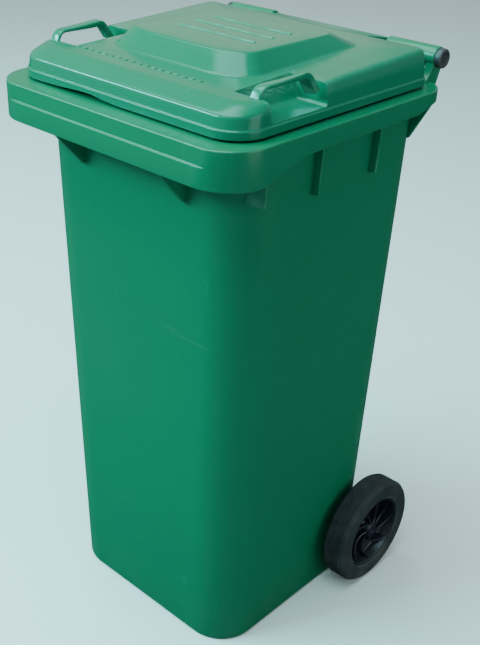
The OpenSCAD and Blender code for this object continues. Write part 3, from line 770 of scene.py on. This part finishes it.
def axle_recess(tub):
    """Cuts the recess for the axle, and adds its walls and the ribs that hold the axle."""
    half = rim_w
    combine(tub, plate("recess cut", recess_profile(0), -half, 2 * half, along_x, 0), "DIFFERENCE")
    walls = plate("recess walls", recess_profile(wall), -half / 2, half, along_x, 0)
    combine(walls, plate("recess room", recess_profile(0), -half, 2 * half, along_x, 0), "DIFFERENCE")
    y0 = axle_y - 28
    rib = [(y0, axle_z - 18), (axle_y + 16, axle_z - 18),
           (axle_y + 16, axle_z + 72), (y0, axle_z + 28)]
    for x in (-base_w / 2 + 4, -base_w / 6 - 6, base_w / 6, base_w / 2 - 10):
        combine(walls, plate("axle rib", rib, x, 6, along_x, 0), "UNION")
    inside = skin("tub block", [tub_ring(0, 0.4), tub_ring(under_z, 0.4)])
    combine(walls, inside, "INTERSECT")
    combine(tub, walls, "UNION")
    turns = [a * math.pi / 16 for a in range(32)]
    bore = [(axle_bore_r * math.cos(a) + axle_y, axle_bore_r * math.sin(a) + axle_z) for a in turns]
    combine(tub, plate("axle bore", bore, -base_w / 2, base_w, along_x, 0), "DIFFERENCE")


def stiffeners(tub):
    """Gussets under the apron and fins under the side skirts."""
    root = top_y0 + 4
    low = rim_z - gusset_h
    gusset = [(root, low), (top_y0 - 4, low), (top_y0 - 12, low + 9),
              (rim_y0 + step_in, rim_z - apron_h + 4), (rim_y0 + step_in, under_z + 1),
              (root, under_z + 1)]
    corner_fin = (rim_y0 + rim_d * 0.18, rim_z - corner_fin_h, 20)
    side_fins = [(rim_y0 + rim_d * share, rim_z - side_fin_h, 2) for share in (0.415, 0.69)]
    for side in (1, -1):
        combine(tub, plate("gusset", gusset, side * rim_w * 0.214 - 4, 8, along_x, 1.2), "UNION")
        for y, low, reach in [corner_fin] + side_fins:
            x = mix(base_w, top_w, low / under_z) / 2
            fin = [(x - reach, low), (x + 12, low + 2), (x + 15, rim_z - skirt_h),
                   (rim_w / 2 - 2, rim_z - skirt_h + 4), (rim_w / 2 - 2, under_z + 1),
                   (top_w / 2 - reach, under_z + 1)]
            fin = [(side * u, v) for u, v in fin]
            combine(tub, plate("fin", fin, y - 2, 4, along_y, 0.8), "UNION")
        y = rim_y1 - brace_back
        brace_x = top_w / 2 - 16
        brace = [(brace_x, rim_z - brace_h), (brace_x + 7, rim_z - brace_h),
                 (rim_w / 2 - 2, rim_z - skirt_h + 12), (rim_w / 2 - 2, under_z + 1),
                 (brace_x, under_z + 1)]
        brace = [(side * u, v) for u, v in brace]
        combine(tub, plate("back brace", brace, y - 3, 6, along_y, 0.8), "UNION")


def circle_points(radius, cy, cz, start, end, steps):
    """Points (y, z) on an arc, angles in degrees from the +Y direction."""
    return [(cy + radius * math.cos(math.radians(mix(start, end, i / steps))),
             cz + radius * math.sin(math.radians(mix(start, end, i / steps)))) for i in range(steps + 1)]


def grips(tub):
    """The two hand grips, each on two arms that rise from the back of the rim."""
    root_y = rim_y1 - 12
    arm = [(root_y, rim_z - 45), (rim_y1, rim_z - 45), (rim_y1 + 4, rim_z - 30)]
    arm += circle_points(grip_d * 0.48, hinge_y, hinge_z, -28, 128, 12)
    arm += [(rim_y1 - 6, rim_z + 14), (rim_y1 - 14, rim_z + 4),
            (rim_y1 - 24, rim_z + 0.5), (root_y, rim_z - rim_t)]
    for side in (1, -1):
        for x in (grip_x0, grip_x1 - arm_t):
            start = x if side > 0 else -x - arm_t
            combine(tub, plate("arm", arm, start, arm_t, along_x, 1.6), "UNION")
        profile = [(10, grip_x0), (grip_d / 2, grip_x0), (grip_d / 2, grip_x1), (10, grip_x1)]
        profile = round_profile(profile, [0, 2, 2, 0])
        bar = onto_axis(turned("grip", profile, TUB_GREEN, 72), 0, hinge_y, hinge_z)
        if side < 0:
            bar.data.transform(Matrix.Scale(-1, 4, (1, 0, 0)))
            bar.data.flip_normals()
        combine(tub, bar, "UNION")
        bore = circle_points(pin_bore_r, hinge_y, hinge_z, 0, 352.5, 47)
        start = grip_x0 - 2 if side > 0 else -grip_x1 - 2
        combine(tub, plate("pin bore", bore, start, grip_x1 - grip_x0 + 4, along_x, 0), "DIFFERENCE")


def make_tub():
    tub = tub_shell()
    axle_recess(tub)
    stiffeners(tub)
    grips(tub)
    smooth(tub, 30)
    paint(tub, TUB_GREEN)
    tub.name = "tub_with_rim_and_grips"
    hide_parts("body_shell")
    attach(tub, "bin")


# ---------------------------------------------------------------- lid

def face_z(point):
    """Height of the lid's face, which rises from the front crest to the back."""
    return crest_z + lid_rise * (point.y - lid_y0 - brow) / (lid_d - brow)


def lid_outline(inset=0.0, front=0.0):
    front_r, back_r = lid_r - inset, lid_back_r - inset
    return outline(lid_w - 2 * inset, lid_y0 + inset + front, lid_y1 - inset,
                   (front_r, front_r), (back_r, back_r))


def panel_outline(inset):
    """Outline of the raised panel: wide round front corners, tighter back ones."""
    front = (62 - inset * 0.5, 40 - inset * 0.4)
    back = (30 - inset * 0.5, 26 - inset * 0.4)
    return outline(panel_w - 2 * inset, panel_y0 + inset, panel_y1 - inset * 1.8, front, back)


def lip_z(point):
    """Lower edge of the lid's lip, lifted where the front edge has warped a little."""
    spread = 55 if point.x < -55 else 30
    front = ease((lid_y0 + 30 - point.y) / 30)
    return lid_z0 + 4.5 * front * math.exp(-((point.x + 55) / spread) ** 2)


def lid_keys(t):
    """Key rings of the lid from the lip to the panel's top, each with its rounding.

    They are moved in by the thickness t."""
    def on_face(drop):
        return lambda p: face_z(p) - drop
    return [
        (at_height(lid_outline(t), lip_z), 0.9), (at_height(lid_outline(t), lid_z0 + lip_h - t), 1.1),
        (at_height(lid_outline(2.2 + t), lid_z0 + lip_h + 1 - t), 1.0),
        (at_height(lid_outline(3 + t, 2), shoulder_z - t), 5.0),
        (at_height(lid_outline(7 + t, brow - 7), on_face(t)), 9.0),
        (at_height(panel_outline(t - 6), on_face(t)), 4.5),
        (at_height(panel_outline(16 + t), panel_z - t), 3.0)]


def lid_shell():
    outer = lid_keys(0)
    inner = lid_keys(lid_t)
    crown = at_height(panel_outline(40), panel_z + 0.8)
    ceiling = at_height(panel_outline(40), panel_z - lid_t)
    keys = [(ceiling, 0)] + inner[::-1] + outer + [(crown, 0)]
    return skin("lid", rounded_rings([k for k, r in keys], [r for k, r in keys], 5))


def pocket_solid(name, grow_by, rounding, side):
    """Room of a handle pocket: it opens to the side, and its inner wall leans in."""
    rake = 16.0 / 30
    top = panel_z + 10
    low = pocket_z - grow_by
    x0 = pocket_x0 - grow_by
    section = [(x0, low), (lid_w / 2 + 30, low), (lid_w / 2 + 30, top), (x0 - rake * (top - low), top)]
    section = [(side * u, v) for u, v in section]
    y0 = pocket_y0 - grow_by
    solid = plate(name, section, y0, pocket_y1 - pocket_y0 + 2 * grow_by, along_y, 0)
    round_edges(solid, rounding, 4)
    return solid


def lid_block(inset):
    """Solid of everything under the lid's face, moved in."""
    keys = lid_keys(inset)
    keys[0] = (at_height(lid_outline(inset), lid_z0), 0)
    return skin("lid block", rounded_rings([k for k, r in keys], [r for k, r in keys], 5))


def handle_strap(side):
    """A lid handle: a strap on two feet over the pocket, deeper towards its back.

    The right one leans and tips outwards; the left one stands nearly straight."""
    low = crest_z - 5
    front, back = -57, 52
    lean, tipped = (0.1, 5.0) if side > 0 else (-0.02, 0.0)
    keys = [(front, low), (-46, pocket_z + 41), (0, pocket_z + 43), (34, pocket_z + 46), (back, low)]
    path = round_path([Vector((u, v, 0)) for u, v in keys], [0, 9, 30, 9, 0], 6)
    rings = []
    for i, here in enumerate(path):
        before, after = path[max(0, i - 1)], path[min(len(path) - 1, i + 1)]
        along = (after - before).normalized()
        up = Vector((-along.y, along.x, 0))
        t = (here.x - front) / (back - front)
        depth = mix(4.0, 9.0, ease(t))
        tip = mix(0.0, tipped, ease(t))
        section = outline(strap_w, -depth, 0, (1.6, 1.6), (2.4, 2.4), 3, 1)
        ring = []
        for p in section:
            spot = here + up * (p.y + tip * (p.x / strap_w + 0.2))
            x = lid_w / 2 - 24 + p.x + spot.x * lean
            ring.append(Vector((side * x, lid_y0 + 112 + spot.x, spot.y)))
        rings.append(ring)
    return skin("lid handle", rings)


def hinge_neck():
    """Neck behind the lid and the tube that turns on the pins."""
    tube_x = grip_x0 - 1.5
    r = 13.0
    back = Vector((0, lid_y1, 0))
    z = face_z(back)
    neck = [(lid_y1 - 9, z - 8), (lid_y1 - 16, z - 1.2), (lid_y1 - 6, z - 0.6)]
    neck += circle_points(r, hinge_y, hinge_z, 98, 60, 6)
    neck += circle_points(r, hinge_y, hinge_z, 160, 175, 2)[::-1] + [(lid_y1 - 1, z - 11)]
    part = plate("hinge neck", neck, -tube_x, 2 * tube_x, along_x, 1.0)
    tube = [(9.1, -tube_x), (r, -tube_x), (r, tube_x), (9.1, tube_x)]
    bar = turned("hinge tube", round_profile(tube, [0, 1, 1, 0]), LID_GREEN, 64)
    onto_axis(bar, 0, hinge_y, hinge_z)
    combine(part, bar, "UNION")
    return part


def panel_ridges():
    """Three low ridges across the top of the raised panel."""
    def bar(half, drop):
        end_r = (half - 0.1, half - 0.1)
        return outline(150 - 2 * drop, -half, half, end_r, end_r, 6, 6)
    keys = [(bar(4.0, 0), -1.0), (bar(4.0, 0), 0.8), (bar(2.4, 1.4), 2.1)]
    shape = skin("panel ridges", [at_height(points, panel_z + z) for points, z in keys], 60)
    shape.data.transform(Matrix.Translation(Vector((8, panel_y0 + 80, 0)) * MM))
    return grow(shape, REPEAT, Count=3, Step=(0, 0.038, 0), Finish=LID_GREEN)


def tread_pips():
    """A row of small raised dashes along the front of the lid's face."""
    foot = outline(9, -3.2, 3.2, (1.6, 1.6), (1.6, 1.6), 4, 2)
    rings = [at_height(foot, z) for z in (-1.2, 0.45)]
    rings.append(at_height(outline(7.8, -2.4, 2.4, (1.0, 1.0), (1.0, 1.0), 4, 2), 0.9))
    shape = skin("lid dashes", rings, 60)
    start = Vector((-148, lid_y0 + 63, 0))
    shape.data.transform(Matrix.Translation(Vector((start.x, start.y, face_z(start))) * MM))
    return grow(shape, REPEAT, Count=18, Step=(0.0142, 0, 0), Finish=LID_GREEN)


def make_lid():
    lid = lid_shell()
    for side in (1, -1):
        combine(lid, pocket_solid("pocket", 0, 4.5, side), "DIFFERENCE")
        walls = pocket_solid("pocket walls", lid_t, 7, side)
        combine(walls, pocket_solid("pocket room", 0, 4.5, side), "DIFFERENCE")
        combine(walls, lid_block(1.2), "INTERSECT")
        combine(lid, walls, "UNION")
        combine(lid, handle_strap(side), "UNION")
    combine(lid, hinge_neck(), "UNION")
    smooth(lid, 30)
    paint(lid, LID_GREEN)
    lid.name = "lid_with_handles"
    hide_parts("lid")
    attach(lid, "lid")
    for trim, name in ((panel_ridges(), "lid_panel_ridges"), (tread_pips(), "lid_front_dashes")):
        trim.name = name
        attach(trim, "lid")


# ---------------------------------------------------------------- hinge pins

def make_pins():
    """The two pins, with a round, slightly dished head at each outer end."""
    x0, x1 = pin_low.x, pin_high.x
    head = (pin_high.z - pin_low.z) / 2
    profile = round_profile(
        [(0, x0), (7, x0), (9, x0 + 2), (9, grip_x1), (head, grip_x1), (head, x1),
         (head * 0.62, x1), (head * 0.55, x1 - 1.6), (0, x1 - 1.6)],
        [0, 1, 1, 0, 1, 3.5, 0.8, 1, 0])
    right = onto_axis(turned("hinge_pin_head_right", profile, NYLON, 64), 0, hinge_y, hinge_z)
    left = mirrored(right, "hinge_pin_head_left")
    for pin, side in ((right, "right"), (left, "left")):
        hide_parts(f"hinge_pin_{side}")
        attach(pin, "bin")


# ---------------------------------------------------------------- wheels

def tyre_profile():
    """Section (radius, height from the wheel's inner face) of the tyre, with a ribbed tread."""
    w = wheel_w
    points = [(hub_r, 1.0), (hub_r + 3, 0.6), (wheel_r - 9, 0.0), (wheel_r - 4, 1.2), (wheel_r - 1.4, 5.0)]
    radii = [0, 1.0, 2.0, 1.5, 1.0]
    ribs = 7
    pitch = (w - 12) / ribs
    for k in range(ribs):
        h = 6 + k * pitch
        points += [(wheel_r - 1.3, h), (wheel_r, h + pitch * 0.22),
                   (wheel_r, h + pitch * 0.78), (wheel_r - 1.3, h + pitch)]
        radii += [0.3, 0.4, 0.4, 0.3]
    points += [(wheel_r - 1.4, w - 5.0), (wheel_r - 4, w - 1.2), (wheel_r - 9, w),
               (hub_r + 3, w - 0.6), (hub_r, w - 1.6)]
    radii += [1.0, 1.5, 2.0, 1.0, 0]
    return round_profile(points, radii, 2)


def hub_profile():
    """Section (radius, height) of the hub: a rim, a deep dish, a web and a boss."""
    w = wheel_w
    web = w - 23
    points = [(10.1, 0), (27, 0), (26, web - 5), (hub_r - 7, web - 5), (hub_r - 6, 3),
              (hub_r - 0.05, 3), (hub_r - 0.05, w - 2.4), (hub_r - 4.5, w - 2.4), (hub_r - 8, web),
              (16, web), (13.5, w - 10), (11, w - 8.5), (10.1, w - 9)]
    radii = [0, 1, 2, 2, 1, 0, 0.8, 2.2, 4, 3, 2, 1, 0]
    return round_profile(points, radii, 3)


def spoke_shape():
    """One curved vane from the boss to the hub's rim, swept round as it goes out."""
    w = wheel_w
    rings = []
    steps = 14
    for i in range(steps + 1):
        t = i / steps
        radius = mix(12, hub_r - 5.5, t)
        sweep = 0.85 * t ** 1.4
        thick = mix(3.6, 2.6, t)
        top = w - mix(10.5, 5.0, t) - 5.5 * math.sin(math.pi * t)
        middle = Vector((radius * math.cos(sweep), radius * math.sin(sweep), 0))
        lean = sweep + 0.85 * 1.4 * max(t, 0.01) ** 0.4 * radius / (hub_r - 17.5)
        across = Vector((-math.sin(lean), math.cos(lean), 0)) * thick / 2
        corners = [(-1.5, w - 24), (1.5, w - 24), (1, top - 0.9), (0.4, top), (-0.4, top),
                   (-1, top - 0.9)]
        rings.append([middle + across * k + Vector((0, 0, z)) for k, z in corners])
    return skin("hub spokes", rings, 50)


def wheel_parts():
    """Tyre, hub, spokes and cap of one wheel, turned about Z from its inner face."""
    tyre = turned("tyre_right", tyre_profile(), TYRE, 160)
    hub = turned("hub_right", hub_profile(), HUB, 120)
    spokes = grow(spoke_shape(), REPEAT, Count=8, Turn=(0, 0, math.pi / 4), Finish=HUB)
    spokes.name = "hub_spokes_right"
    w = wheel_w
    cap = turned("hub_cap_detail_right", round_profile(
        [(0, w - 12), (8, w - 12), (8, w - 8.9), (12.4, w - 8.9), (11.6, w - 6.8),
         (4.5, w - 6.2), (3.5, w - 7.2), (0, w - 7.2)],
        [0, 0, 0, 0.6, 1.2, 0.5, 0.5, 0]), HUB, 64)
    return tyre, hub, spokes, cap


def make_wheels():
    tyre, hub, spokes, cap = wheel_parts()
    for part, node, slot in ((tyre, "wheel_tyre", "tyre_rubber"), (hub, "wheel_hub", "black_pp"),
                             (spokes, None, "black_pp"), (cap, "hub_cap", "black_pp")):
        onto_axis(part, wheel_x0, axle_y, axle_z)
        twin = mirrored(part, part.name.replace("right", "left"))
        for piece, side in ((part, "right"), (twin, "left")):
            if node:
                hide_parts(f"{node}_{side}")
            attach(piece, f"wheel_{side}")


def make_springs():
    """The coil springs behind the locking plungers."""
    height = spring_high.z - spring_low.z
    x = (spring_low.x + spring_high.x) / 2
    for side, sign in (("right", 1), ("left", -1)):
        mesh = bpy.data.meshes.new("spring")
        coil = bpy.data.objects.new(f"lock_coil_{side}", mesh)
        bpy.context.scene.collection.objects.link(coil)
        grow(coil, SPRING, Turns=4.0, Radius=0.0051, Height=(height - 1.0) * MM,
             Wire=0.0005, Finish=STEEL)
        coil.data.transform(Matrix.Translation(Vector((sign * x, axle_y, spring_low.z + 0.5)) * MM))
        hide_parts(f"lock_spring_{side}")
        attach(coil, f"wheel_{side}")
        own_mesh(coil)


def dress_cad_nodes():
    """Finishes for the CAD parts that stay as they are."""
    for side in ("left", "right"):
        paint(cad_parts[f"lock_plunger_{side}"], NYLON)
        paint(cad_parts[f"lock_bush_{side}"], HUB)
        paint(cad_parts[f"axle_spacer_{side}"], NYLON)
    paint(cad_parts["axle"], STEEL)


# ---------------------------------------------------------------- stage, light and camera

def make_stage():
    """A wide pale floor."""
    size = 15.0
    mesh = bpy.data.meshes.new("floor")
    corners = [(-size, -size, 0), (size, -size, 0), (size, size, 0), (-size, size, 0)]
    mesh.from_pydata(corners, [], [(0, 1, 2, 3)])
    floor = bpy.data.objects.new("floor", mesh)
    bpy.context.scene.collection.objects.link(floor)
    f = Finish("pale floor", (0.34, 0.34, 0.34), 0.9, specular=0.1)
    rays = f.add("ShaderNodeLightPath")
    f.blend(rays.outputs["Is Glossy Ray"], (0.07, 0.07, 0.07))
    f.blend(rays.outputs["Is Camera Ray"], (0.92, 0.92, 0.92))
    paint(floor, f.done())


def soft_light(name, place, target, size, power, colour):
    light = bpy.data.lights.new(name, "AREA")
    light.shape = "RECTANGLE"
    light.size, light.size_y = size
    light.energy = power
    light.color = colour
    lamp = bpy.data.objects.new(name, light)
    lamp.location = place
    lamp.rotation_euler = (Vector(target) - Vector(place)).to_track_quat("-Z", "Y").to_euler()
    bpy.context.scene.collection.objects.link(lamp)


def make_light():
    """Soft studio light in a pale surround.

    A cool key stands at the front left, one is overhead, and a weak warm card is behind."""
    lid_middle = (0, 0, 0.9)
    soft_light("key", (-2.1, -2.6, 2.6), lid_middle, (2.6, 0.5), 240, (0.22, 0.95, 1.0))
    soft_light("overhead", (-0.5, -0.8, 3.8), lid_middle, (3.8, 2.2), 200, (0.50, 0.97, 1.0))
    soft_light("warm card", (-2.4, 2.6, 1.9), lid_middle, (1.6, 0.9), 1.8, (1.0, 0.88, 0.60))
    soft_light("right fill", (3.2, 0.4, 1.2), (0, 0, 0.5), (2.0, 2.4), 34, (0.70, 0.98, 1.0))
    world = bpy.data.worlds.new("surround")
    bpy.context.scene.world = world
    world.use_nodes = True
    sky = world.node_tree.nodes["Background"]
    sky.inputs["Color"].default_value = (0.86, 0.98, 1.0, 1)
    sky.inputs["Strength"].default_value = 0.42


def make_camera():
    """A camera a little above the lid, at the bin's front right corner."""
    azimuth, elevation, roll = math.radians(42.8), math.radians(30.3), math.radians(1.8)
    distance = 1.682
    target = Vector((0, -0.024, 0.45))
    back = Vector((math.sin(azimuth) * math.cos(elevation),
                   -math.cos(azimuth) * math.cos(elevation), math.sin(elevation)))
    right = (-back).cross(Vector((0, 0, 1))).normalized()
    up = right.cross(-back)
    c, s = math.cos(roll), math.sin(roll)
    right, up = right * c + up * s, up * c - right * s
    place = Matrix((right, up, back)).transposed().to_4x4()
    place.translation = target + back * distance
    camera = bpy.data.cameras.new("camera")
    camera.lens = 55.95
    camera.sensor_width = 36
    camera.shift_x = 0.0445
    camera.shift_y = 0.0437
    camera.clip_end = 60
    rig = bpy.data.objects.new("camera", camera)
    rig.matrix_world = place
    bpy.context.scene.collection.objects.link(rig)
    bpy.context.scene.camera = rig


make_camera()
make_stage()
make_light()
make_tub()
make_lid()
make_pins()
make_wheels()
make_springs()
dress_cad_nodes()
